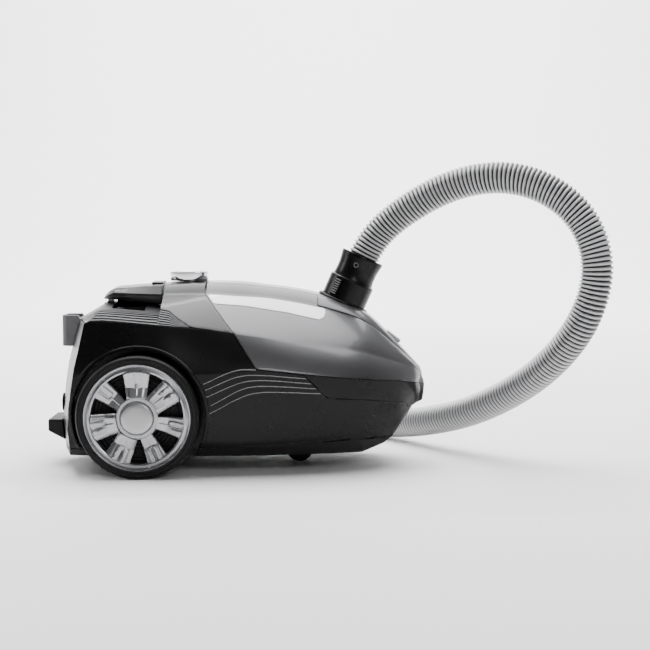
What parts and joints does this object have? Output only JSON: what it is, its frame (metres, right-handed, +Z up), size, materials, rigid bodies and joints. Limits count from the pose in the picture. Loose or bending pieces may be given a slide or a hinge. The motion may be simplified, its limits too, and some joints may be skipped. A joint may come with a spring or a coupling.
{
  "type": "canister vacuum cleaner",
  "caption": "Bagged canister vacuum cleaner with hinged lid, spoked rear wheels, swivel caster, power knob and a flexible suction hose with a bent handle.",
  "frame": {"origin": "centre of the bottom of the body's box, on the floor, without the hose", "axes": "+X towards the nose, +Z up, +Y to the machine's left"},
  "size_m": [0.6854, 0.8032, 0.3652],
  "materials": {
    "gloss_black_abs": "satin black moulded ABS",
    "matte_black_pp": "matt black polypropylene",
    "grey_metallic_abs": "metallic grey painted ABS, clear coated",
    "silver_abs": "silver painted ABS",
    "chrome_plate": "chrome-plated ABS",
    "hose_plastic": "silver grey corrugated EVA",
    "tyre_rubber": "soft black TPE",
    "steel": "bright steel",
    "fan_aluminium": "pressed aluminium",
    "bag_fleece": "non-woven fleece",
    "board": "circuit board and card"
  },
  "bodies": {
    "chassis": {"lower_housing": "gloss_black_abs", "bottom_pan": "matte_black_pp", "housing_screws": "steel", "front_bumper": "gloss_black_abs", "rear_cover": "grey_metallic_abs", "exhaust_grille": "silver_abs", "exhaust_filter": "bag_fleece", "carry_handle": "gloss_black_abs", "parking_socket": "grey_metallic_abs", "rear_foot": "matte_black_pp", "cord_outlet": "matte_black_pp", "hose": "hose_plastic", "handle_cuff": "gloss_black_abs", "handle_grip": "matte_black_pp", "wheel_axles": "steel", "on_off_spring": "steel", "rewind_spring": "steel", "control_board": "board", "potentiometer": "board", "bag_plate": "board", "bag_holder": "matte_black_pp", "dust_bag": "bag_fleece", "filter_frame": "matte_black_pp", "motor_filter": "bag_fleece", "motor_housing": "matte_black_pp", "motor_can": "steel", "stator": "steel", "motor_bearings": "steel", "fan_cover": "matte_black_pp", "motor_mounts": "tyre_rubber", "reel_spring_case": "steel", "reel_bracket": "matte_black_pp"},
    "lid": {"lid_shell": "grey_metallic_abs", "lid_centre_panel": "grey_metallic_abs", "lid_trims": "silver_abs", "lid_seal": "tyre_rubber", "inlet_collar": "matte_black_pp", "inlet_seal": "tyre_rubber", "hinge_pin": "steel", "latch_spring": "steel"},
    "latch": {"lid_latch": "silver_abs"},
    "cuff": {"cuff_body": "gloss_black_abs"},
    "cuff_button_right": {"right_cuff_button": "gloss_black_abs"},
    "cuff_button_left": {"left_cuff_button": "gloss_black_abs"},
    "wheel_right": {"right_tyre": "tyre_rubber", "right_rim": "silver_abs", "right_hub_cap": "silver_abs"},
    "wheel_left": {"left_tyre": "tyre_rubber", "left_rim": "silver_abs", "left_hub_cap": "silver_abs"},
    "caster": {"caster_fork": "matte_black_pp", "caster_pin": "steel"},
    "caster_roller": {"caster_wheel": "tyre_rubber"},
    "knob": {"power_knob": "chrome_plate"},
    "on_off": {"on_off_button": "grey_metallic_abs"},
    "rewind": {"rewind_button": "grey_metallic_abs"},
    "motor_rotor": {"rotor": "steel", "fan": "fan_aluminium"},
    "reel": {"cord_reel": "matte_black_pp"},
    "slider": {"suction_slider": "gloss_black_abs"}
  },
  "joints": [
    {"name": "lid_hinge", "type": "hinge", "parent": "chassis", "child": "lid", "pos_m": [-0.031, 0, 0.2145], "axis": [0, -1, 0], "range_deg": [0, 60], "deforming": ["hose"]},
    {"name": "latch_press", "type": "slide", "parent": "lid", "child": "latch", "axis": [-0.6046, 0, -0.7965], "range_m": [0, 0.004], "stiffness_N_per_m": 300, "springref_m": -0.002, "deforming": ["latch_spring"]},
    {"name": "cuff_swivel", "type": "hinge", "parent": "lid", "child": "cuff", "pos_m": [0.1294, 0, 0.1966], "axis": [0.4035, 0, 0.915], "continuous": true},
    {"name": "cuff_button_right_press", "type": "slide", "parent": "cuff", "child": "cuff_button_right", "axis": [0.5248, 0.8192, -0.2315], "range_m": [0, 0.002], "stiffness_N_per_m": 400, "springref_m": -0.001},
    {"name": "cuff_button_left_press", "type": "slide", "parent": "cuff", "child": "cuff_button_left", "axis": [-0.5248, -0.8192, 0.2315], "range_m": [0, 0.002], "stiffness_N_per_m": 400, "springref_m": -0.001},
    {"name": "wheel_right_spin", "type": "hinge", "parent": "chassis", "child": "wheel_right", "pos_m": [-0.1073, 0, 0.071], "axis": [0, 1, 0], "continuous": true},
    {"name": "wheel_left_spin", "type": "hinge", "parent": "chassis", "child": "wheel_left", "pos_m": [-0.1073, 0, 0.071], "axis": [0, 1, 0], "continuous": true},
    {"name": "caster_swivel", "type": "hinge", "parent": "chassis", "child": "caster", "pos_m": [0.088, 0, 0.016], "axis": [0, 0, 1], "continuous": true},
    {"name": "caster_roll", "type": "hinge", "parent": "caster", "child": "caster_roller", "pos_m": [0.076, 0, 0.016], "axis": [0, 1, 0], "continuous": true},
    {"name": "knob_turn", "type": "hinge", "parent": "chassis", "child": "knob", "pos_m": [-0.0586, 0, 0.225], "axis": [0, 0, 1], "range_deg": [-135, 135]},
    {"name": "on_off_press", "type": "slide", "parent": "chassis", "child": "on_off", "axis": [0, 0, -1], "range_m": [0, 0.0025], "stiffness_N_per_m": 400, "springref_m": -0.001, "deforming": ["on_off_spring"]},
    {"name": "rewind_press", "type": "slide", "parent": "chassis", "child": "rewind", "axis": [0, 0, -1], "range_m": [0, 0.0025], "stiffness_N_per_m": 400, "springref_m": -0.001, "deforming": ["rewind_spring"]},
    {"name": "motor_spin", "type": "hinge", "parent": "chassis", "child": "motor_rotor", "pos_m": [-0.02, 0.038, 0.092], "axis": [1, 0, 0], "continuous": true},
    {"name": "reel_spin", "type": "hinge", "parent": "chassis", "child": "reel", "pos_m": [-0.122, -0.05, 0.09], "axis": [0, 1, 0], "continuous": true},
    {"name": "suction_slide", "type": "slide", "parent": "chassis", "child": "slider", "axis": [1, 0, 0], "range_m": [0, 0.014]}
  ]
}
